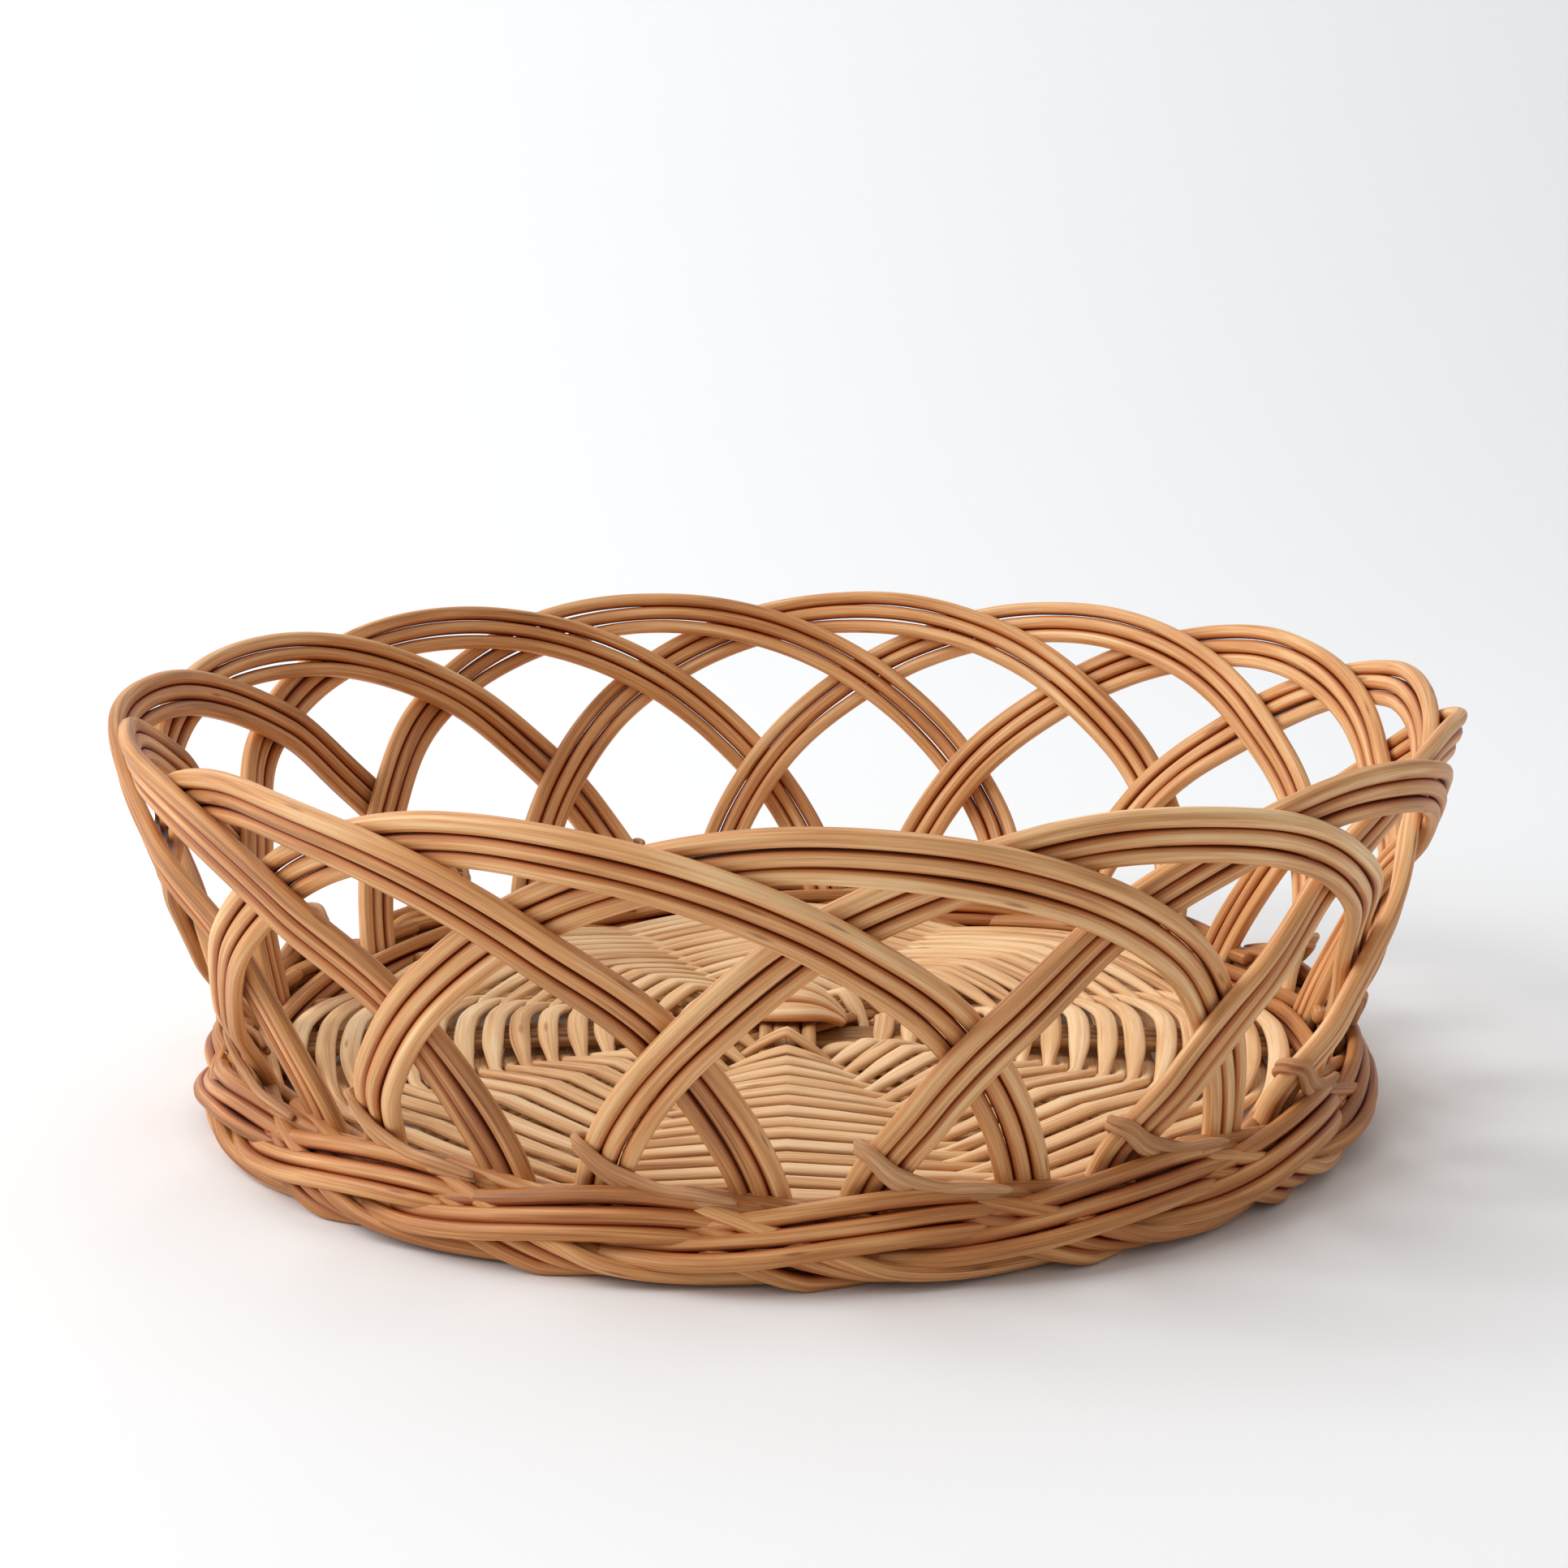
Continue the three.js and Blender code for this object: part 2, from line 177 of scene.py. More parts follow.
class Bundle:
    """Rods that share one mesh. Each is a closed tube with its own grain map and tone."""

    def __init__(self, seed):
        self.rng = np.random.default_rng(seed)
        self.points, self.faces, self.maps, self.tones, self.painted_shade_weights = [], [], [], [], []
        self.total = 0

    def rod(self, route, across, half_width, half_depth, tone, sides=12, closed=False,
            squareness=2.2, painted_shade=(0, 0)):
        """Profile carried along a path. At step i and turn t of the section the point is
        route + across * width * C(t) + facing * depth * S(t). C and S are cosine and sine
        raised to 2 / squareness with their sign kept, and facing is tangent x across. The two
        painted shade weights darken the sides away from and towards across, where a neighbour lies."""
        steps = len(route)
        if closed:
            tangent = unit(np.roll(route, -1, 0) - np.roll(route, 1, 0))
        else:
            tangent = unit(np.gradient(route, axis=0))
        across = unit(across - (across * tangent).sum(1, keepdims=True) * tangent)
        facing = np.cross(tangent, across)
        width = np.broadcast_to(half_width, steps).astype(float).copy()
        depth = np.broadcast_to(half_depth, steps).astype(float).copy()
        if not closed:
            width[[0, -1]] *= END_TAPER
            depth[[0, -1]] *= END_TAPER
        turn = np.arange(sides) / sides * 2 * math.pi
        power = 2 / squareness
        wide = np.sign(np.cos(turn)) * np.abs(np.cos(turn)) ** power
        deep = np.sign(np.sin(turn)) * np.abs(np.sin(turn)) ** power
        points = (
            route[:, None]
            + across[:, None] * (width[:, None] * wide)[..., None]
            + facing[:, None] * (depth[:, None] * deep)[..., None]
        ).reshape(-1, 3)
        rows = steps if closed else steps - 1
        i, j = np.meshgrid(np.arange(rows), np.arange(sides), indexing="ij")
        after, beside = (i + 1) % steps, (j + 1) % sides
        quads = np.stack(
            [i * sides + j, i * sides + beside, after * sides + beside, after * sides + j], -1
        ).reshape(-1, 4)
        length = np.r_[0, np.cumsum(np.linalg.norm(np.diff(route, axis=0), axis=1))]
        length = np.r_[length, length[-1] + np.linalg.norm(route[0] - route[-1])]
        girth = 2 * math.pi * (width.mean() + depth.mean()) / 2 / sides
        start = self.rng.uniform(0, GRAIN_FIELD, 2)
        corner_u = np.stack([j, j + 1, j + 1, j], -1) * girth + start[0]
        corner_v = length[np.stack([i, i, i + 1, i + 1], -1)] + start[1]
        maps = np.stack([corner_u, corner_v], -1).reshape(-1, 2)
        # Painted shade: the weights rise towards the sides of the rod where a neighbour lies.
        towards = np.clip(np.cos(turn), 0, 1)
        away = np.clip(-np.cos(turn), 0, 1)
        painted_shade_weights = np.tile(painted_shade[0] * away + painted_shade[1] * towards, steps)
        faces = [tuple(q) for q in (quads + self.total).tolist()]
        if not closed:
            centres = np.array([route[0], route[-1]])
            low = self.total + len(points)
            points = np.vstack([points, centres])
            painted_shade_weights = np.r_[painted_shade_weights, 0, 0]
            first = np.arange(sides)
            last = first + (steps - 1) * sides
            for centre, ring in ((low, first[::-1]), (low + 1, last)):
                rim = ring + self.total
                fan = np.stack([np.full(sides, centre), rim, np.roll(rim, -1)], -1)
                faces += [tuple(f) for f in fan.tolist()]
                maps = np.vstack([maps, np.tile(start, (3 * sides, 1))])
        self.points.append(points)
        self.faces += faces
        self.maps.append(maps)
        self.painted_shade_weights.append(painted_shade_weights)
        self.tones.append(np.full(len(points), tone))
        self.total += len(points)

    def finish(self, name, material, slot, *nodes):
        """Puts the rods into one object that rides on the frame and replaces its nodes."""
        mesh = bpy.data.meshes.new(name)
        mesh.from_pydata((np.vstack(self.points) * MM).tolist(), [], self.faces)
        mesh.uv_layers.new(name="Grain").data.foreach_set("uv", np.vstack(self.maps).ravel())
        for word, values in (("tone", self.tones), ("painted_shade", self.painted_shade_weights)):
            attribute = mesh.attributes.new(word, "FLOAT", "POINT")
            attribute.data.foreach_set("value", np.concatenate(values).astype(np.float32))
        mesh.shade_smooth()
        mesh.materials.append(material)
        piece = bpy.data.objects.new(name, mesh)
        bpy.context.scene.collection.objects.link(piece)
        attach(piece, BODY)
        if nodes:
            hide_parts(*nodes)


# ---- Wall ------------------------------------------------------------------------------------
# A band changes sides at its crown, within this share of the pitch, and on each leg between
# these distances from the crown, in pitches.
CROWN_CHANGE = 0.25
LEG_CHANGE = (1.04, 1.46)
# Between these heights a leg comes in behind the border's outer rods, by this much.
TUCK_HEIGHTS = (18.0, 42.0)
TUCK = 3.0
LEG_END = 12.5
# Rods of a band gape by this much at most, in full above the second of these heights, and only
# where their wandering passes the threshold.
GAPE = 0.9
GAPE_HEIGHTS = (45, 85)
GAPE_THRESHOLD = 0.3
# How far a rod strays from its place, and how much its thickness varies.
SIDEWAYS_STRAY = 0.15
OUTWARD_STRAY = 0.3
OUTWARD_WAVES = 6
WALL_THICKNESS = (0.95, 1.02)
THICKNESS_STRAY = 0.02
# A wall rod's section is a little wider than it is deep.
WALL_WIDTH = 1.01
WALL_DEPTH = 0.94
TONE_SPREAD = 0.1
# Painted light: the bands painted palest, as if more light fell on them, stand this far round from
# the right, towards the front.
PAINTED_LIGHT_TURN = 0.5


def wall_normal(angle):
    """Outward direction, at right angles to the flared wall."""
    return unit(ring_direction(angle, 1.0, -FLARE))


def wall_point(angle, height, out):
    """Point of the flared wall, moved out along its normal."""
    radius = FOOT_RADIUS + FLARE * (height - FOOT_LINE)
    return ring_point(angle, radius, height) + wall_normal(angle) * np.reshape(out, (-1, 1))


def crown_angle(index):
    """Angle of an arch's crown: one pitch from the one before."""
    return FIRST_CROWN + index * PITCH


def leg_angle(spread, height):
    """How far round the wall a leg is from its crown where the arch has dropped to a height."""
    drop = ((height - FOOT_LINE) / (CROWN_HEIGHT - FOOT_LINE)) ** (1 / FULLNESS)
    return spread * np.sqrt(1 - drop * drop)


def weave(from_crown, height, swing):
    """Right legs lie outside the first two left legs that they cross and inside the third.
    Near the border every leg comes in behind the border's outer rods."""
    side = np.tanh(from_crown / (CROWN_CHANGE * PITCH))
    start, end = LEG_CHANGE
    turned = smoothstep(np.abs(from_crown), start * PITCH, end * PITCH)
    free = smoothstep(height, *TUCK_HEIGHTS)
    return swing * side * (1 - 2 * turned) * free - TUCK * (1 - free)


def arch_line(index, leg_end, swing, steps):
    """Angle, height and offset along an arch: cosine to the power FULLNESS of the turn gives
    its rise, and sine of the turn its distance from the crown."""
    end = ((leg_end - FOOT_LINE) / (CROWN_HEIGHT - FOOT_LINE)) ** (1 / FULLNESS)
    turn = np.linspace(-1, 1, steps) * math.acos(end)
    from_crown = np.where(turn < 0, LEFT_SPREAD, RIGHT_SPREAD) * np.sin(turn)
    height = FOOT_LINE + (CROWN_HEIGHT - FOOT_LINE) * np.cos(turn) ** FULLNESS
    return crown_angle(index) + from_crown, height, weave(from_crown, height, swing)


def build_arch(index, settings, material):
    """Three rods side by side along one arch, each wandering a little from its place."""
    bundle = Bundle(SEEDS["arch"] + index)
    rng = bundle.rng
    count = settings.steps
    angle, height, out = arch_line(index, LEG_END, settings.weave_swing / MM, count)
    line = wall_point(angle, height, out)
    facing = wall_normal(angle)
    across = unit(np.cross(unit(np.gradient(line, axis=0)), facing))
    rod = settings.rod_diameter / MM
    # Painted light: the bands round to the right are made lighter, as if more light fell on them.
    painted_side_light = settings.painted_side_light * math.sin(crown_angle(index) + PAINTED_LIGHT_TURN)
    band_tone_and_light = vary(rng, TONE_SPREAD) + painted_side_light
    for number in range(RODS_PER_BAND):
        place = number - (RODS_PER_BAND - 1) / 2
        gape = GAPE * np.clip(wander(rng, count) - GAPE_THRESHOLD, 0, 1)
        gape *= smoothstep(height, *GAPE_HEIGHTS)
        sideways = place * (rod + gape) + SIDEWAYS_STRAY * wander(rng, count)
        outwards = OUTWARD_STRAY * wander(rng, count, OUTWARD_WAVES)
        route = line + across * sideways[:, None] + facing * outwards[:, None]
        thick = rod / 2 * rng.uniform(*WALL_THICKNESS)
        thick = thick * (1 + THICKNESS_STRAY * wander(rng, count))
        bundle.rod(route, across, thick * WALL_WIDTH, thick * WALL_DEPTH,
                   band_tone_and_light + vary(rng, TONE_SPREAD), sides=14, squareness=2.5,
                   painted_shade=neighbour_painted_shade(number))
    node = node_group("arch")[index]
    bundle.finish(f"{node}_rods", material, "arch_rods", node)


# ---- Collars ---------------------------------------------------------------------------------
# How far along the wall a left leg moves for each millimetre that it rises, at collar height.
LEG_SLANT = 0.9
# From the border's top up to a hook's upper end, and down to where its strips leave the leg.
HOOK_RISE = (7.5, 9.5)
HOOK_DROP = 0.6
# Room between the leg and the strips, beside it and in front of it.
SIDE_ROOM = 0.8
FRONT_ROOM = 1.0
# How far below the border's top the strips lie on the border.
REST_DROP = 2.2
# Shift up and share of the width for each of the two strips.
SPLIT = ((1.4, 0.56), (-1.5, 0.5))
# The second strip lies this much further in than the first.
STRIP_STEP = 0.25
STRIP_STRAY = 0.12
STRIP_TONES = (-0.1, 0.15)
# Thickness of a strip where it is narrowest, as a share of its own.
THINNEST = 0.6
# Loose fibres at the hook: their number, the steps of the strip where they may start, length,
# droop, spread, section, tone and points.
FRAYS = 3
FRAY_STEPS = (4, 10)
FRAY_LENGTH = (2.0, 4.0)
FRAY_DROOP = np.array([0, 0, -0.12])
FRAY_SPREAD = 0.8
FRAY_SECTION = (0.22, 0.12)
FRAY_TONE = -0.1
FRAY_POINTS = 6


def build_collar(index, settings, material):
    """Two split strips that hook round a left leg from behind, cross its face and run down to
    the right onto the border. Stations are along the wall, height, out and width share. A
    loose fibre is a straight line that droops with the square of its length."""
    bundle = Bundle(SEEDS["collar"] + index)
    rng = bundle.rng
    high = BORDER_TOP + rng.uniform(*HOOK_RISE)
    low = BORDER_TOP - HOOK_DROP
    middle = (high + low) / 2
    edge = RODS_PER_BAND * ROD / 2 * math.hypot(1, LEG_SLANT) + SIDE_ROOM
    left = LEG_SLANT * (high - middle) - edge
    right = edge - LEG_SLANT * (middle - low)
    leg_out = weave(np.array([-LEFT_SPREAD]), np.array([middle]), WEAVE_SWING)[0]
    face = leg_out + ROD / 2 + FRONT_ROOM
    rest = BORDER_TOP - REST_DROP
    stations = (
        (left + 4.5, high - 6.0, leg_out - 3.6, 0.55),
        (left + 1.4, high - 3.6, leg_out - 3.4, 0.6),
        (left - 0.8, high - 1.2, leg_out - 1.4, 0.64),
        (left - 1.2, high - 0.1, leg_out + 1.2, 0.68),
        (left + 0.8, high - 0.4, face, 0.8),
        (0.0, middle - 0.6, face + 0.5, 0.95),
        (right - 0.5, low + 1.0, face + 0.5, 1.0),
        (right + 6.0, rest + 0.7, face + 0.9, 0.9),
        (right + 14.0, rest + 0.3, face + 1.2, 0.75),
        (right + 22.0, rest - 1.6, face + 0.2, 0.5),
    )
    along, rise, out, share = through(stations, settings.steps).T
    leg = crown_angle(index) - leg_angle(LEFT_SPREAD, middle)
    angle = leg + along / FOOT_RADIUS
    across = ring_direction(angle, FLARE, 1.0)
    for number, (shift, part) in enumerate(SPLIT):
        stray = STRIP_STRAY * wander(rng, settings.steps)
        route = wall_point(angle, rise + shift * share, out - STRIP_STEP * number + stray)
        width = settings.strip_width / MM * part * share / 2
        depth = settings.strip_depth / MM / 2 * (THINNEST + (1 - THINNEST) * share)
        bundle.rod(route, across, width, depth, rng.uniform(*STRIP_TONES), sides=12, squareness=2.1)
    outward = wall_normal(np.array([leg]))[0]
    upright = np.tile([0.0, 0, 1], (FRAY_POINTS, 1))
    for _ in range(FRAYS):
        base = route[rng.integers(*FRAY_STEPS)]
        away = unit(outward + rng.uniform(-FRAY_SPREAD, FRAY_SPREAD, 3))
        reach = np.linspace(0, rng.uniform(*FRAY_LENGTH), FRAY_POINTS)[:, None]
        hair = base + away * reach + FRAY_DROOP * reach**2
        bundle.rod(hair, upright, *FRAY_SECTION, FRAY_TONE, sides=5)
    node = node_group("collar")[index]
    bundle.finish(f"{node}_strips", material, "collar_strip", node)


# ---- Foot border -----------------------------------------------------------------------------
# Stations of the middle rod of each strand: degrees from where the top strand dives through
# the wall, radius, height, lean of the row of rods (90 is upright, more leans in) and how far
# apart the rods lie, in rod diameters.
TOP_STRAND = (
    (-41, 145.6, 8.4, 150, 0.7), (-35, 148.6, 9.0, 144, 0.8), (-30, 151.2, 10.2, 136, 0.92),
    (-24, 152.3, 12.3, 128, 1.0), (-17, 152.2, 15.0, 118, 1.0), (-11, 151.3, 16.3, 113, 1.0),
    (-6, 149.6, 15.9, 110, 0.95), (-2, 147.4, 14.2, 108, 0.85), (2, 144.8, 12.8, 104, 0.8),
    (7, 141.4, 12.4, 96, 0.85), (13, 138.6, 12.2, 86, 0.95), (21, 136.6, 11.4, 80, 1.0),
    (30, 136.8, 9.6, 76, 1.0), (38, 139.4, 7.2, 74, 0.9),
)
MIDDLE_STRAND = (
    (-54, 144.0, 16.5, 120, 0.75), (-47, 146.0, 15.0, 120, 0.75), (-42, 147.8, 13.0, 118, 0.8),
    (-37, 148.7, 10.3, 114, 0.85), (-33, 148.9, 8.8, 112, 0.85), (-28, 148.2, 8.6, 114, 0.8),
    (-22, 146.4, 9.3, 120, 0.75), (-15, 143.0, 10.2, 120, 0.6),
)
BOTTOM_STRAND = (
    (-60, 145.0, 16.0, 120, 0.8), (-54, 148.2, 14.6, 115, 0.85), (-49, 151.0, 11.6, 105, 0.95),
    (-44, 151.9, 7.4, 85, 1.0), (-40, 151.0, 4.6, 55, 1.0), (-36, 149.3, 3.2, 25, 1.0),
    (-30, 147.2, 2.6, 10, 1.0), (-23, 143.8, 2.8, 0, 1.0), (-16, 139.5, 3.7, -20, 1.0),
    (-9, 136.0, 5.7, -50, 1.0), (-2, 134.4, 8.5, -75, 0.95),
)
STRANDS = (("top", TOP_STRAND), ("middle", MIDDLE_STRAND), ("bottom", BOTTOM_STRAND))
# From an arch's crown to where its top strand dives through the wall.
DIVE_FROM_CROWN = math.radians(-7.0)
STRAND_STRAY = 0.3
STRAND_THICKNESS = (0.93, 1.03)
STRAND_DEPTH = 0.96
STRAND_TONE_SPREAD = 0.12
# Degrees round the border by which a rod may start early or late.
STRAND_SHIFT = 0.6


def build_strand(index, layer, settings, material):
    """Three rods side by side along a smooth line through the strand's stations, in a frame
    that turns with the border. No rod goes below the table."""
    word, stations = STRANDS[layer]
    bundle = Bundle(SEEDS["strand"] + SEEDS_PER_LAYER * layer + index)
    rng = bundle.rng
    count = settings.steps
    rod = settings.rod_diameter / MM
    degrees, middle_radius, middle_height, lean, spacing = through(stations, count).T
    angle = crown_angle(index) + DIVE_FROM_CROWN + np.radians(degrees)
    lean = np.radians(lean)
    tone = vary(rng, TONE_SPREAD)
    for number in range(RODS_PER_BAND):
        place = number - (RODS_PER_BAND - 1) / 2
        sideways = place * rod * spacing + STRAND_STRAY * wander(rng, count)
        thick = rod / 2 * rng.uniform(*STRAND_THICKNESS)
        radius = middle_radius + np.cos(lean) * sideways + STRAND_STRAY * wander(rng, count)
        height = np.maximum(middle_height + np.sin(lean) * sideways, thick)
        shifted = angle + math.radians(vary(rng, STRAND_SHIFT))
        route = ring_point(shifted, radius, height)
        across = ring_direction(shifted, np.cos(lean), np.sin(lean))
        bundle.rod(route, across, thick, thick * STRAND_DEPTH,
                   tone + vary(rng, STRAND_TONE_SPREAD), sides=12, squareness=2.15,
                   painted_shade=neighbour_painted_shade(number))
    node = node_group("border_strand")[index]
    bundle.finish(f"border_{word}_strand_{index + 1:02d}", material, "border_rods", node)


# ---- Floor -----------------------------------------------------------------------------------
# Radius inside which neighbouring arms overlap, and how far outside it they reach one level.
CROSSING_REACH = STICKS * STICK_WIDTH / 2 / math.sin(ARM_GAP / 2)
LEVELLING = 16
# How far sticks and rows run in under the border, beyond the reach of the spokes.
STICK_OVERRUN = 9
STICK_OVERRUN_SPREAD = 2
ROW_OVERRUN = 3.0
FAN_POWER = 1.2
STICK_STRAY = 0.25
STICK_WAVE = 0.15
STICK_THICKNESS = (0.98, 1.06)
STICK_TONES = (-0.3, 0.1)
# Shares of a ridge that are round and pointed, and how far a row moves out on top of an arm.
RIDGE_ROUND = 0.45
RIDGE_POINTED = 0.55
RIDGE_OUT = 0.7
# Turns, sizes and starts of the sines that a row wanders by.
RIPPLE_TURNS = (2, 3, 5, 8)
RIPPLE_SIZES = (0.1, 0.3)
RIPPLE_STARTS = (0, 6.3)
# Between two arms a row's strip has this share of its width and is this much thicker. It has
# its full width where its wave is above this value.
BETWEEN_WIDTH = 0.56
BETWEEN_DEPTH = 0.06
FULL_WIDTH_FROM = 0.8
ROW_THICKNESS = (0.93, 1.04)
ROW_TONE_SPREAD = 0.16


def floor_height(radius):
    """A shallow dome, highest in the middle."""
    return FLOOR_EDGE_HEIGHT + FLOOR_DOME * (1 - (radius / SPOKE_REACH) ** 2)


def spoke_angle(index):
    """Direction of a bundle. The last runs from front to back and lies on top."""
    return (index + SPOKES - 1) * ARM_GAP


def layer_height(index, radius):
    """Bundles lie one over another in the middle and come down to one level further out."""
    layer = (index - (SPOKES - 1) / 2) * LAYER
    return layer * (1 - smoothstep(radius, CROSSING_REACH, CROSSING_REACH + LEVELLING))


def build_stick(index, number, settings, material):
    """One stick of a spoke, from edge to edge of the floor. Its distance from the spoke's middle
    line grows with a power of the radius, so the sticks fan out."""
    bundle = Bundle(SEEDS["stick"] + SEEDS_PER_SPOKE * index + number)
    rng = bundle.rng
    count = settings.steps
    reach = SPOKE_REACH + STICK_OVERRUN + vary(rng, STICK_OVERRUN_SPREAD)
    along = np.linspace(-1, 1, count) * reach
    radius = np.abs(along)
    spread = 1 + settings.fan * (radius / SPOKE_REACH) ** FAN_POWER
    aside = (number - (STICKS - 1) / 2) * STICK_WIDTH * spread + STICK_STRAY * wander(rng, count)
    level = floor_height(radius) + layer_height(index, radius)
    angle = spoke_angle(index)
    ahead = np.array([math.cos(angle), math.sin(angle), 0])
    sideways = np.array([-math.sin(angle), math.cos(angle), 0])
    route = along[:, None] * ahead + aside[:, None] * sideways
    route[:, 2] = level + STICK_WAVE * wander(rng, count)
    across = np.tile(sideways, (count, 1))
    half = STICK_WIDTH / 2 * rng.uniform(*STICK_THICKNESS)
    bundle.rod(route, across, half, STICK_DEPTH / 2, rng.uniform(*STICK_TONES), sides=10)
    nodes = [node_group("spoke_bundle")[index]] if number == 0 else []
    bundle.finish(f"spoke_{index + 1}_stick_{number + 1}", material, "spoke_sticks", *nodes)


def arm_level(angle, radius):
    """Height of the spokes' layers round a ring: each arm's own, and a straight mix between."""
    total = 0
    for arm in range(2 * SPOKES):
        index = (arm - (SPOKES - 1)) % SPOKES
        away = np.abs((angle - arm * ARM_GAP + math.pi) % (2 * math.pi) - math.pi)
        total = total + np.clip(1 - away / ARM_GAP, 0, 1) * layer_height(index, radius)
    return total


def build_row(index, settings, material):
    """One ring of flattened strip. Its height follows a ridge over one arm and a hollow under
    the next, and the next row does the opposite. Its radius is partly that of a straight line
    across each arm."""
    bundle = Bundle(SEEDS["row"] + index)
    rng = bundle.rng
    inner = settings.weave_start / MM
    outer = SPOKE_REACH + ROW_OVERRUN
    turns = np.linspace(0, 2 * math.pi, settings.row_steps, endpoint=False)
    angle = turns + ARM_GAP / 2
    middle = inner + (index + 0.5) * (outer - inner) / settings.rows
    phase = 1 if index % 2 else -1
    wave = phase * np.cos(SPOKES * angle)
    from_arm = np.arccos(np.abs(wave)) / (math.pi / 2)
    ridge = np.sign(wave) * (RIDGE_ROUND * (1 - from_arm**2) + RIDGE_POINTED * (1 - from_arm))
    ripple = sum(
        rng.uniform(*RIPPLE_SIZES) * np.sin(order * turns + rng.uniform(*RIPPLE_STARTS))
        for order in RIPPLE_TURNS
    )
    to_arm = np.abs((angle + ARM_GAP / 2) % ARM_GAP - ARM_GAP / 2)
    straight = settings.straightness * (1 - (middle / outer) ** 2) * (1 / np.cos(to_arm) - 1)
    radius = middle * (1 + straight) + ripple + RIDGE_OUT * np.maximum(wave, 0)
    level = floor_height(middle) + arm_level(angle, middle) + settings.swing / MM * ridge
    route = np.stack([radius * np.cos(angle), radius * np.sin(angle), level], -1)
    outward = np.stack([np.cos(angle), np.sin(angle), 0 * angle], -1)
    at_arm = smoothstep(np.abs(wave), 0.0, FULL_WIDTH_FROM)
    half_width = settings.strip_width / MM / 2 * (BETWEEN_WIDTH + (1 - BETWEEN_WIDTH) * at_arm)
    half_width = half_width * rng.uniform(*ROW_THICKNESS)
    half_depth = settings.strip_depth / MM / 2 * (1 + BETWEEN_DEPTH * (1 - at_arm))
    bundle.rod(route, outward, half_width, half_depth, vary(rng, ROW_TONE_SPREAD), closed=True,
               sides=10, squareness=2.3)
    courses = node_group("floor_course")
    node = courses[index * len(courses) // settings.rows]
    bundle.finish(f"floor_row_{index + 1:02d}", material, "floor_strips", node)


# The strips over the middle: how far they reach past the sticks and rise above them, how much
# more the middle strip bows up, and how far all of them go down at both ends.
BINDING_REACH = 8.2
BINDING_RISE = 1.2
BINDING_BOW = 6.0
BINDING_DROP = 3.5
# Share of their width at the ends, the power that draws them in, and how much shorter the
# outermost would be.
BINDING_DRAWN = 0.3
BINDING_DRAW_POWER = 0.8
BINDING_SHORTER = 0.06
BINDING_STRAY = 0.15
# Width of a strip over the pitch of the strips, and half its thickness.
BINDING_OVERLAP = 1.1
BINDING_HALF_DEPTH = 1.35
BINDING_TONES = (0.0, 0.25)
# Painted shade on both edges of every binding strip.
BINDING_PAINTED_SHADE = (0.7, 0.7)
BINDING_POINTS = 41


def build_binding(settings, material):
    """Strips over the top spoke in the middle. They run from left to right, bow up over the
    sticks, draw together at both ends and go down beside the spoke."""
    bundle = Bundle(SEEDS["binding"])
    rng = bundle.rng
    strips = settings.binding_strips
    reach = STICKS * STICK_WIDTH / 2 + BINDING_REACH
    share = np.linspace(-1, 1, BINDING_POINTS)
    top = floor_height(0) + (SPOKES - 1) / 2 * LAYER + STICK_DEPTH / 2 + BINDING_RISE
    half_length = settings.binding_length / MM / 2
    arc = np.cos(share * math.pi / 2)
    drawn = BINDING_DRAWN + (1 - BINDING_DRAWN) * arc**BINDING_DRAW_POWER
    for number in range(strips):
        place = (number - (strips - 1) / 2) / (strips / 2)
        x = share * reach * (1 - BINDING_SHORTER * place**2)
        y = place * half_length * drawn + BINDING_STRAY * wander(rng, BINDING_POINTS)
        z = top + BINDING_BOW * (1 - place**2) * arc - BINDING_DROP * share**4
        slope = -2 * BINDING_BOW * place * arc / (half_length * drawn)
        route = np.stack([x, y, z], -1)
        across = np.stack([0 * x, 1 + 0 * x, slope], -1)
        half = half_length / strips * BINDING_OVERLAP * drawn
        bundle.rod(route, across, half, BINDING_HALF_DEPTH, rng.uniform(*BINDING_TONES), sides=12,
                   painted_shade=BINDING_PAINTED_SHADE)
    bundle.finish("centre_binding_strips", material, "floor_strips", "centre_binding")


# ---- Materials -------------------------------------------------------------------------------
def linear(code):
    """Linear red, green, blue and alpha of an sRGB hex colour."""
    parts = [int(code[k:k + 2], 16) / 255 for k in (1, 3, 5)]
    return [p / 12.92 if p <= 0.04045 else ((p + 0.055) / 1.055) ** 2.4 for p in parts] + [1.0]


def add(tree, kind, settings=None, inputs=None, stops=()):
    """Adds a node to a tree, with its settings, its inputs as values or links, and a ramp's
    stops of position and colour."""
    made = tree.nodes.new(kind)
    for name, value in (settings or {}).items():
        setattr(made, name, value)
    for name, value in (inputs or {}).items():
        if isinstance(value, bpy.types.NodeSocket):
            tree.links.new(value, made.inputs[name])
        else:
            made.inputs[name].default_value = value
    if stops:
        elements = made.color_ramp.elements
        while len(elements) < len(stops):
            elements.new(0.5)
        for element, (position, colour) in zip(elements, stops):
            element.position = position
            element.color = colour
    return made


def per_mm(across, along):
    """Mapping scale of a pattern that is so many millimetres across and along the rod."""
    return (1 / across, 1 / along, 1)


# Real fibres are about 0.2 mm across. They are drawn at least 0.35 mm across, so that they show.
FIBRE_MM = (0.5, 26.0)
STREAK_MM = (1.7, 70.0)
DRIFT_MM = 45.0
KNOT_MM = (5.0, 38.0)
# A knot fades out between these shares of its cell, is this strong, and is left out of this
# share of the cells.
KNOT_CORE = 0.03
KNOT_EDGE = 0.1
KNOT_STRENGTH = 0.65
KNOTLESS = 0.8
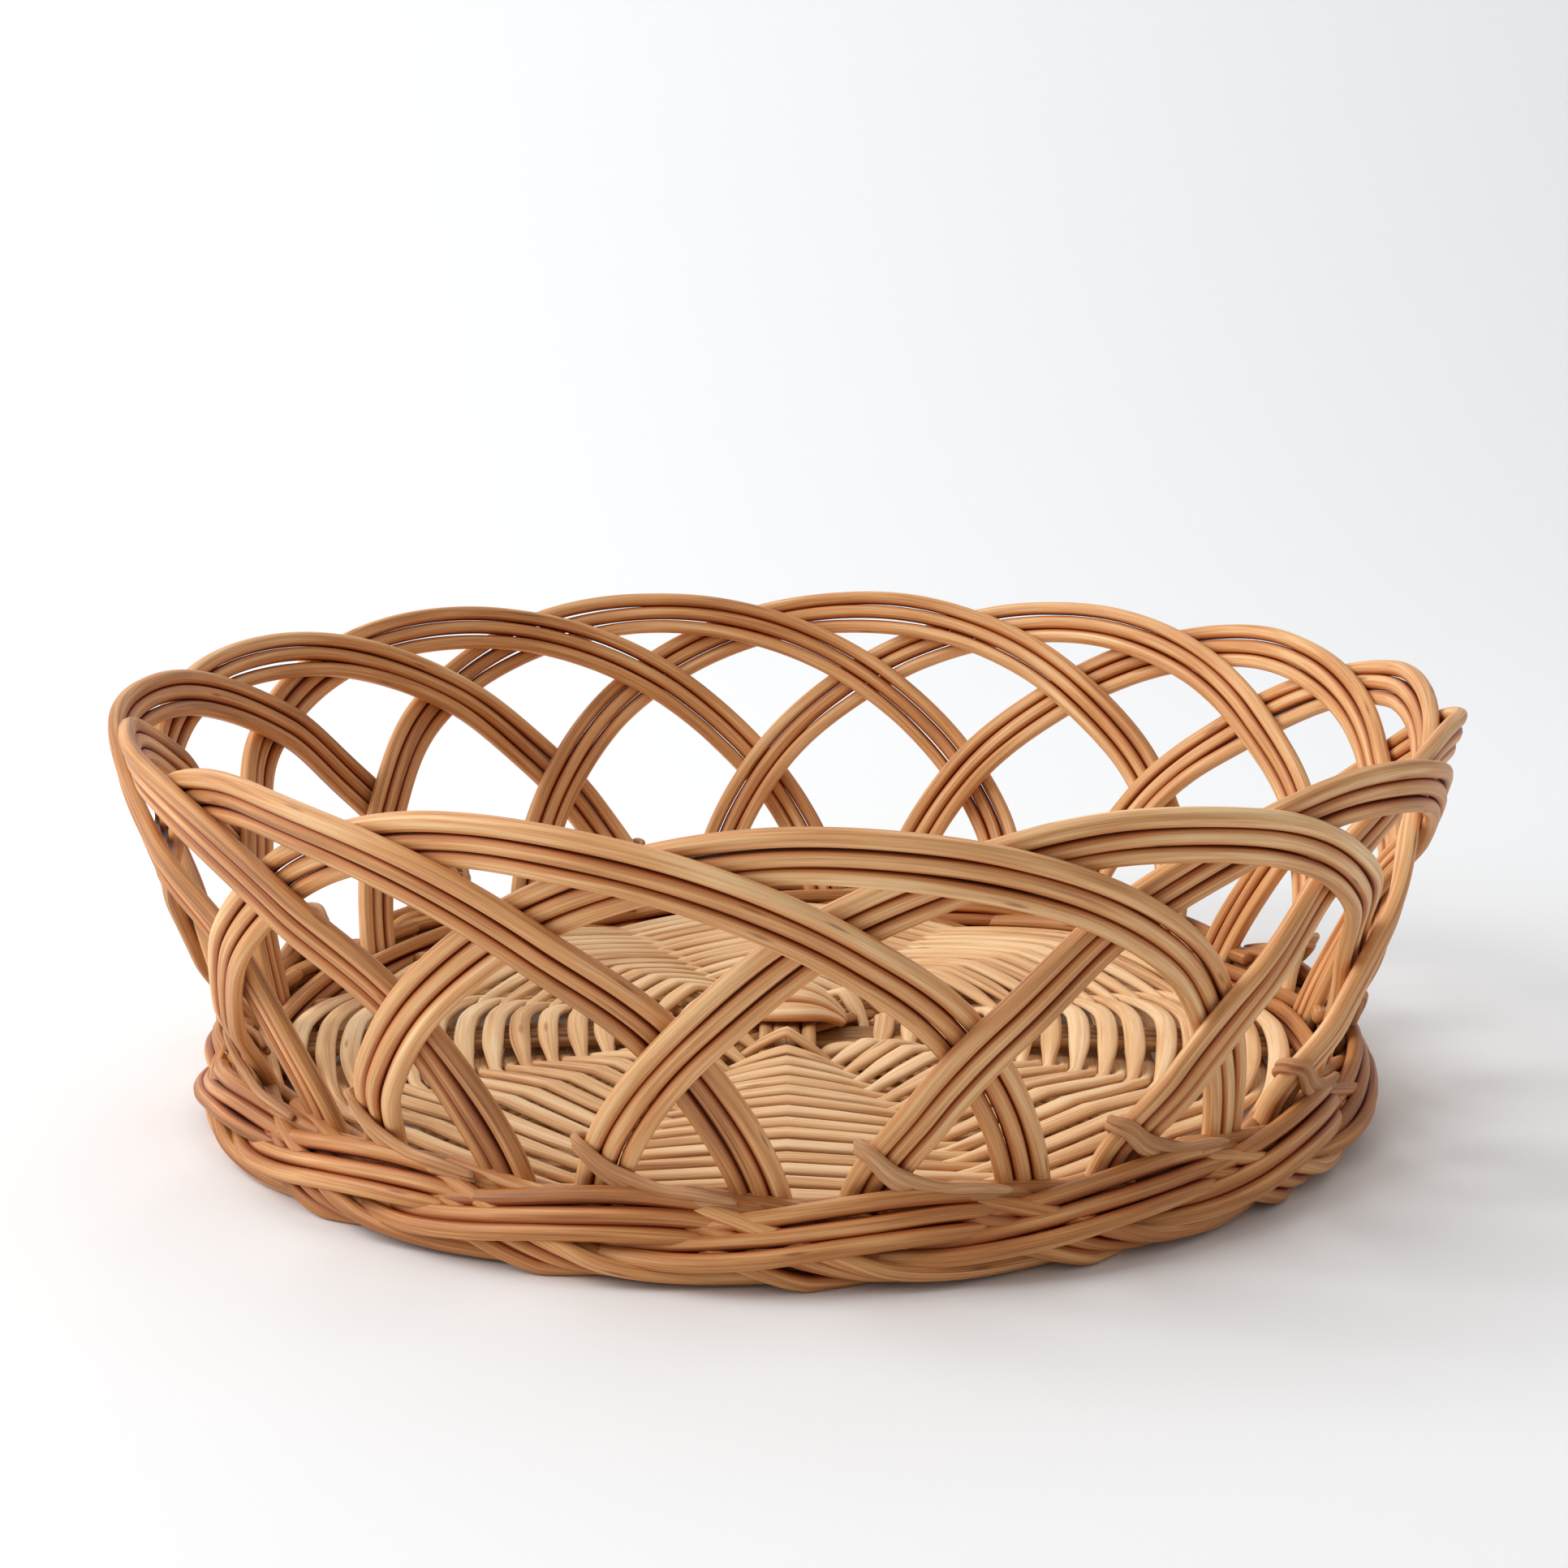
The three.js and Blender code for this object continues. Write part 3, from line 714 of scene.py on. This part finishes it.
# Place of the middle shade between dark and light, the middle of a noise, and how much each
# pattern moves the shade.
MIDDLE_SHADE = 0.5
NOISE_MIDDLE = 0.5
FIBRE_WEIGHT = 0.7
STREAK_WEIGHT = 0.85
DRIFT_WEIGHT = 0.55
TONE_WEIGHT = 0.75
# Painted shade between rods: tints over a rod's colour, from the open side of the rod to deep in a
# groove, darker and redder where a neighbour touches.
PAINTED_GROOVE_SHADE = ((0.3, "#ffffff"), (0.75, "#e0b189"), (0.93, "#8f5a38"), (1.0, "#3a1a08"))
RELIEF_STRENGTH = 0.55
RATTAN_IOR = 1.5
RATTAN_SPECULAR = 0.42


def rattan(name, settings, fibre_mm=FIBRE_MM, roughness=(0.42, 0.6), fibre_depth=0.12):
    """Peeled rattan: fine fibres and soft streaks run along the rod, the tone drifts slowly,
    small dark knots sit here and there, and painted shade darkens the grooves between rods.
    The fibres' size and depth are in millimetres."""
    material = bpy.data.materials.new(name)
    material.use_nodes = True
    tree = material.node_tree
    tree.nodes.clear()
    grain_map = add(tree, "ShaderNodeUVMap", {"uv_map": "Grain"}).outputs["UV"]
    tone = add(tree, "ShaderNodeAttribute", {"attribute_name": "tone"}).outputs["Fac"]
    painted_shade = add(tree, "ShaderNodeAttribute", {"attribute_name": "painted_shade"}).outputs["Fac"]
    place = add(tree, "ShaderNodeTexCoord").outputs["Object"]

    noises = []
    for size, detail, rough in ((fibre_mm, 3.0, 0.6), (STREAK_MM, 2.0, 0.5)):
        scaled = add(tree, "ShaderNodeMapping", {}, {"Vector": grain_map, "Scale": per_mm(*size)})
        noise = add(tree, "ShaderNodeTexNoise", {"noise_dimensions": "2D"},
                    {"Vector": scaled.outputs[0], "Scale": 1.0, "Detail": detail,
                     "Roughness": rough})
        noises.append(noise.outputs["Fac"])
    fibre, streak = noises
    drift = add(tree, "ShaderNodeTexNoise", {},
                {"Vector": place, "Scale": 1 / (DRIFT_MM * MM), "Detail": 2.0})
    spots = add(tree, "ShaderNodeMapping", {}, {"Vector": grain_map, "Scale": per_mm(*KNOT_MM)})
    knots = add(tree, "ShaderNodeTexVoronoi", {"voronoi_dimensions": "2D"},
                {"Vector": spots.outputs[0], "Scale": 1.0})
    near = add(tree, "ShaderNodeMapRange", {},
               {"Value": knots.outputs["Distance"], "From Min": KNOT_CORE, "From Max": KNOT_EDGE,
                "To Min": KNOT_STRENGTH, "To Max": 0.0})
    lottery = add(tree, "ShaderNodeSeparateColor", {}, {"Color": knots.outputs["Color"]})
    chosen = add(tree, "ShaderNodeMath", {"operation": "GREATER_THAN"},
                 {0: lottery.outputs["Red"], 1: KNOTLESS})
    knot = add(tree, "ShaderNodeMath", {"operation": "MULTIPLY"},
               {0: near.outputs[0], 1: chosen.outputs[0]})

    lightness = MIDDLE_SHADE
    patterns = (
        (fibre, FIBRE_WEIGHT, NOISE_MIDDLE), (streak, STREAK_WEIGHT, NOISE_MIDDLE),
        (drift.outputs["Fac"], DRIFT_WEIGHT, NOISE_MIDDLE), (tone, TONE_WEIGHT, 0.0),
    )
    for value, weight, centre in patterns:
        shifted = add(tree, "ShaderNodeMath", {"operation": "SUBTRACT"}, {0: value, 1: centre})
        lightness = add(tree, "ShaderNodeMath", {"operation": "MULTIPLY_ADD"},
                        {0: shifted.outputs[0], 1: weight, 2: lightness}).outputs[0]
    shades = ((0.0, settings.dark), (MIDDLE_SHADE, settings.middle), (1.0, settings.light))
    plain = add(tree, "ShaderNodeValToRGB", {}, {"Fac": lightness}, shades)
    # Painted shade: the colour is multiplied by darker, redder tints towards the sides where rods
    # touch.
    painted_shade_stops = [(position, linear(code)) for position, code in PAINTED_GROOVE_SHADE]
    painted_shade_tint = add(tree, "ShaderNodeValToRGB", {}, {"Fac": painted_shade}, painted_shade_stops)
    shadowed = add(tree, "ShaderNodeMix", {"data_type": "RGBA", "blend_type": "MULTIPLY"},
                   {"Factor": 1.0, 6: plain.outputs["Color"], 7: painted_shade_tint.outputs["Color"]})
    colour = add(tree, "ShaderNodeMix", {"data_type": "RGBA"},
                 {"Factor": knot.outputs[0], 6: shadowed.outputs[2], 7: settings.dark})
    gloss = add(tree, "ShaderNodeMapRange", {},
                {"Value": fibre, "To Min": roughness[0], "To Max": roughness[1]})
    relief = add(tree, "ShaderNodeBump", {},
                 {"Height": fibre, "Strength": RELIEF_STRENGTH, "Distance": fibre_depth * MM})
    shader = add(tree, "ShaderNodeBsdfPrincipled", {},
                 {"Base Color": colour.outputs[2], "Roughness": gloss.outputs[0],
                  "Normal": relief.outputs[0], "IOR": RATTAN_IOR,
                  "Specular IOR Level": RATTAN_SPECULAR})
    add(tree, "ShaderNodeOutputMaterial", {}, {"Surface": shader.outputs[0]})
    return material


def wall_rattan(settings):
    """Peeled and oiled rods: honey brown with a low satin shine."""
    return rattan("oiled_rattan_rod", settings)


def border_rattan(settings):
    """The same rods, a little redder and darker all over: painted shade of the low border."""
    return rattan("border_rattan_painted_shade", settings)


def collar_rattan(settings):
    """Split cane with its skin off: matt and fibrous."""
    return rattan("split_cane_strip", settings, fibre_mm=(0.35, 14.0), roughness=(0.55, 0.75),
                  fibre_depth=0.25)


def floor_rattan(settings):
    """Pith strip: pale straw, matt, with soft fibres."""
    return rattan("pale_pith_strip", settings, fibre_mm=(0.45, 22.0), roughness=(0.5, 0.7))


def stick_rattan(settings):
    """Pith sticks under the weave: matt, and browner than the strips."""
    return rattan("pale_pith_stick", settings, fibre_mm=(0.45, 22.0), roughness=(0.5, 0.7))


# ---- Settings --------------------------------------------------------------------------------
def colour_property(name, description, code):
    """Property for one colour, with an sRGB hex colour as its default."""
    return FloatVectorProperty(name=name, description=description, default=linear(code), size=4,
                               min=0, max=1, subtype="COLOR")


class WallSettings(bpy.types.PropertyGroup):
    """Sizes and colours of the wall's arches"""

    rod_diameter: FloatProperty(
        name="Rod diameter", description="Thickness of a wall rod", default=0.0043,
        min=0.002, max=0.008, unit="LENGTH")
    weave_swing: FloatProperty(
        name="Weave swing", description="How far a band passes in and out of the wall",
        default=WEAVE_SWING * MM, min=0.001, max=0.004, unit="LENGTH")
    # Painted light: bands round to the right are painted lighter, as if more light fell on them.
    painted_side_light: FloatProperty(
        name="Side tone", description="How much lighter the rods are on the right", default=0.1,
        min=0, max=0.5, subtype="FACTOR")
    steps: IntProperty(
        name="Steps", description="Steps along an arch", default=150, min=40, max=400)
    dark: colour_property("Dark", "Wall rod at its darkest streaks", "#8a532b")
    middle: colour_property("Middle", "Wall rod for the most part", "#d7995f")
    light: colour_property("Light", "Wall rod at its palest streaks", "#fad7a2")


class CollarSettings(bpy.types.PropertyGroup):
    """Sizes and colours of the collars"""

    strip_width: FloatProperty(
        name="Strip width", description="Width of both strips together", default=0.0062,
        min=0.002, max=0.009, unit="LENGTH")
    strip_depth: FloatProperty(
        name="Strip depth", description="Thickness of a strip", default=0.0023,
        min=0.0008, max=0.003, unit="LENGTH")
    steps: IntProperty(name="Steps", description="Steps along a strip", default=56, min=20, max=200)
    dark: colour_property("Dark", "Collar at its darkest streaks", "#7e4826")
    middle: colour_property("Middle", "Collar for the most part", "#c38b5b")
    light: colour_property("Light", "Collar at its palest streaks", "#e8c094")


class BorderSettings(bpy.types.PropertyGroup):
    """Sizes and colours of the foot border"""

    rod_diameter: FloatProperty(
        name="Rod diameter", description="Thickness of a border rod", default=0.0043,
        min=0.002, max=0.008, unit="LENGTH")
    steps: IntProperty(name="Steps", description="Steps along a strand", default=90, min=30, max=300)
    # Painted shade: these are darker and redder than the wall's colours, for the shade low on the
    # border.
    dark: colour_property("Dark", "Border rod at its darkest streaks", "#733c19")
    middle: colour_property("Middle", "Border rod for the most part", "#bd7c43")
    light: colour_property("Light", "Border rod at its palest streaks", "#eab77c")


class SpokeSettings(bpy.types.PropertyGroup):
    """Sizes and colours of the floor's sticks"""

    fan: FloatProperty(
        name="Fan", description="How much the sticks of a spoke spread at the edge",
        default=0.3, min=0, max=1, subtype="FACTOR")
    steps: IntProperty(name="Steps", description="Steps along a stick", default=80, min=20, max=300)
    dark: colour_property("Dark", "Stick at its darkest streaks", "#8a542a")
    middle: colour_property("Middle", "Stick for the most part", "#c28f57")
    light: colour_property("Light", "Stick at its palest streaks", "#e2ba86")


class FloorSettings(bpy.types.PropertyGroup):
    """Sizes and colours of the floor's woven rows and its binding"""

    rows: IntProperty(name="Rows", description="Rings of woven strip", default=30, min=10, max=60)
    weave_start: FloatProperty(
        name="Weave start", description="Radius of the innermost row's inner edge",
        default=0.0198, min=0.015, max=0.06, unit="LENGTH")
    strip_width: FloatProperty(
        name="Strip width", description="Width of a woven strip", default=0.0056,
        min=0.002, max=0.01, unit="LENGTH")
    strip_depth: FloatProperty(
        name="Strip depth", description="Thickness of a woven strip", default=0.0024,
        min=0.001, max=0.005, unit="LENGTH")
    swing: FloatProperty(
        name="Swing", description="How far a row passes over and under a spoke",
        default=0.0052, min=0.001, max=0.008, unit="LENGTH")
    straightness: FloatProperty(
        name="Straightness", description="How straight a row runs across a spoke", default=0.8,
        min=0, max=1, subtype="FACTOR")
    row_steps: IntProperty(
        name="Row steps", description="Steps round a row", default=256, min=64, max=600)
    binding_strips: IntProperty(
        name="Binding strips", description="Strips over the middle", default=5, min=2, max=10)
    binding_length: FloatProperty(
        name="Binding length", description="Length of the bound middle, front to back",
        default=0.029, min=0.01, max=0.05, unit="LENGTH")
    dark: colour_property("Dark", "Strip at its darkest streaks", "#a66635")
    middle: colour_property("Middle", "Strip for the most part", "#e6b680")
    light: colour_property("Light", "Strip at its palest streaks", "#fde2b8")


class StageSettings(bpy.types.PropertyGroup):
    """The paper, the light and the view"""

    backdrop_colour: FloatVectorProperty(
        name="Backdrop colour", description="Colour of the seamless paper", subtype="COLOR",
        size=4, default=linear("#f4f5f6"), min=0, max=1)
    view_elevation: FloatProperty(
        name="View elevation", description="Height of the camera's line of sight",
        default=math.radians(12.0), subtype="ANGLE")
    view_distance: FloatProperty(
        name="View distance", description="From the camera to the middle of the basket",
        default=0.765, min=0.2, max=5, unit="LENGTH")
    lens: FloatProperty(
        name="Lens", description="Focal length in millimetres", default=66.45, min=10, max=300,
        unit="CAMERA")
    view_height: FloatProperty(
        name="View height", description="Height that the camera looks at", default=0.0818,
        unit="LENGTH")
    view_shift: FloatProperty(
        name="View shift", description="How far to the right the camera looks", default=-0.0007,
        unit="LENGTH")
    key_power: FloatProperty(
        name="Key light", description="Power of the large soft light on the left", default=41,
        min=0, unit="POWER")
    top_power: FloatProperty(
        name="Top light", description="Power of the soft light above", default=8, min=0,
        unit="POWER")
    room_light: FloatProperty(
        name="Room light", description="Strength of the even white light all round",
        default=0.43, min=0, max=2)


# ---- Operators -------------------------------------------------------------------------------
class BASKET_OT_arches(bpy.types.Operator):
    """Builds the wall's arches, three rods each"""

    bl_idname = "basket.arches"
    bl_label = "Wall arches"

    def execute(self, context):
        settings = context.scene.basket_wall
        material = wall_rattan(settings)
        for index in range(ARCH_COUNT):
            build_arch(index, settings, material)
        return {"FINISHED"}


class BASKET_OT_collars(bpy.types.Operator):
    """Builds the split strips that bind the left legs above the border"""

    bl_idname = "basket.collars"
    bl_label = "Collars"

    def execute(self, context):
        settings = context.scene.basket_collars
        material = collar_rattan(settings)
        for index in range(ARCH_COUNT):
            build_collar(index, settings, material)
        return {"FINISHED"}


class BASKET_OT_border(bpy.types.Operator):
    """Builds the plaited foot border, three strands for each arch"""

    bl_idname = "basket.border"
    bl_label = "Foot border"

    def execute(self, context):
        settings = context.scene.basket_border
        material = border_rattan(settings)
        for index in range(ARCH_COUNT):
            for layer in range(len(STRANDS)):
                build_strand(index, layer, settings, material)
        return {"FINISHED"}


class BASKET_OT_spokes(bpy.types.Operator):
    """Builds the floor's sticks"""

    bl_idname = "basket.spokes"
    bl_label = "Floor spokes"

    def execute(self, context):
        settings = context.scene.basket_spokes
        material = stick_rattan(settings)
        for index in range(SPOKES):
            for number in range(STICKS):
                build_stick(index, number, settings, material)
        return {"FINISHED"}


class BASKET_OT_weave(bpy.types.Operator):
    """Builds the floor's woven rows and the strips over its middle"""

    bl_idname = "basket.weave"
    bl_label = "Floor weave"

    def execute(self, context):
        settings = context.scene.basket_floor
        material = floor_rattan(settings)
        for index in range(settings.rows):
            build_row(index, settings, material)
        build_binding(settings, material)
        return {"FINISHED"}


# The paper, in metres: its front edge, a point in front of the basket, the wall behind, the
# radius of the bend between, its top, half its width and the steps round the bend.
PAPER_FRONT = -2.5
PAPER_MIDDLE = -0.5
PAPER_BACK = 1.6
PAPER_BEND = 0.9
PAPER_TOP = 3.2
PAPER_SIDE = 3.5
PAPER_STEPS = 24
PAPER_ROUGHNESS = 0.85


def backdrop(colour):
    """Seamless paper: a floor that turns up through a quarter circle into a wall behind.
    It is a profile in Y and Z carried along X."""
    turn = np.linspace(0, math.pi / 2, PAPER_STEPS)
    bend = PAPER_BACK - PAPER_BEND + PAPER_BEND * np.sin(turn)
    y = np.r_[PAPER_FRONT, PAPER_MIDDLE, bend, PAPER_BACK]
    z = np.r_[0, 0, PAPER_BEND - PAPER_BEND * np.cos(turn), PAPER_TOP]
    points = [(x, *point) for x in (-PAPER_SIDE, PAPER_SIDE) for point in zip(y, z)]
    count = len(y)
    faces = [(k, count + k, count + k + 1, k + 1) for k in range(count - 1)]
    mesh = bpy.data.meshes.new("backdrop")
    mesh.from_pydata(points, [], faces)
    mesh.shade_smooth()
    paper = bpy.data.materials.new("matt_paper")
    paper.use_nodes = True
    shader = paper.node_tree.nodes["Principled BSDF"]
    shader.inputs["Base Color"].default_value = colour
    shader.inputs["Roughness"].default_value = PAPER_ROUGHNESS
    mesh.materials.append(paper)
    sheet = bpy.data.objects.new("backdrop", mesh)
    bpy.context.scene.collection.objects.link(sheet)


# Place and width of each soft box, in metres.
KEY_BOX = ((-1.75, -0.25, 1.35), 1.7)
TOP_BOX = ((-0.1, 0.5, 1.9), 1.6)
# Width of the camera's sensor, in millimetres.
SENSOR_WIDTH = 36


def softbox(name, place, width, target, power):
    """Square area light at a place, turned to a target. Metres and watts."""
    data = bpy.data.lights.new(name, "AREA")
    data.size = width
    data.energy = power
    light = bpy.data.objects.new(name, data)
    light.location = place
    light.rotation_euler = (Vector(target) - Vector(place)).to_track_quat("-Z", "Y").to_euler()
    bpy.context.scene.collection.objects.link(light)


class BASKET_OT_stage(bpy.types.Operator):
    """Builds the paper backdrop, the soft studio light and the camera"""

    bl_idname = "basket.stage"
    bl_label = "Stage, light and camera"

    def execute(self, context):
        scene = context.scene
        settings = scene.basket_stage
        backdrop(settings.backdrop_colour)
        target = Vector((settings.view_shift, 0, settings.view_height))
        softbox("key_light", *KEY_BOX, target, settings.key_power)
        softbox("top_light", *TOP_BOX, target, settings.top_power)
        world = bpy.data.worlds.new("studio")
        world.use_nodes = True
        sky = world.node_tree.nodes["Background"]
        sky.inputs["Color"].default_value = linear("#ffffff")
        sky.inputs["Strength"].default_value = settings.room_light
        scene.world = world
        scene.view_settings.view_transform = "Standard"
        rise = settings.view_elevation
        away = Vector((0, -math.cos(rise), math.sin(rise)))
        data = bpy.data.cameras.new("camera")
        data.sensor_width = SENSOR_WIDTH
        data.lens = settings.lens
        camera = bpy.data.objects.new("camera", data)
        camera.location = target + away * settings.view_distance
        camera.rotation_euler = (-away).to_track_quat("-Z", "Y").to_euler()
        scene.collection.objects.link(camera)
        scene.camera = camera
        return {"FINISHED"}


OPERATORS = (
    BASKET_OT_arches, BASKET_OT_collars, BASKET_OT_border, BASKET_OT_spokes, BASKET_OT_weave,
    BASKET_OT_stage,
)


class BASKET_PT_panel(bpy.types.Panel):
    """Lists the basket's parts"""

    bl_idname = "BASKET_PT_panel"
    bl_label = "Rattan basket"
    bl_space_type = "VIEW_3D"
    bl_region_type = "UI"
    bl_category = "Basket"

    def draw(self, context):
        for operator in OPERATORS:
            self.layout.operator(operator.bl_idname)


GROUPS = {
    "basket_wall": WallSettings,
    "basket_collars": CollarSettings,
    "basket_border": BorderSettings,
    "basket_spokes": SpokeSettings,
    "basket_floor": FloorSettings,
    "basket_stage": StageSettings,
}


def register():
    """Registers the settings, the operators and the panel."""
    for group in GROUPS.values():
        bpy.utils.register_class(group)
    for name, group in GROUPS.items():
        setattr(bpy.types.Scene, name, PointerProperty(type=group))
    for entry in (*OPERATORS, BASKET_PT_panel):
        bpy.utils.register_class(entry)


def unregister():
    """Takes away what register added, in the opposite order."""
    for entry in (BASKET_PT_panel, *reversed(OPERATORS)):
        bpy.utils.unregister_class(entry)
    for name, group in reversed(GROUPS.items()):
        delattr(bpy.types.Scene, name)
        bpy.utils.unregister_class(group)


def main():
    """Registers the classes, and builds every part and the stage."""
    register()
    for operator in OPERATORS:
        family, word = operator.bl_idname.split(".")
        getattr(getattr(bpy.ops, family), word)()


if __name__ == "__main__":
    main()
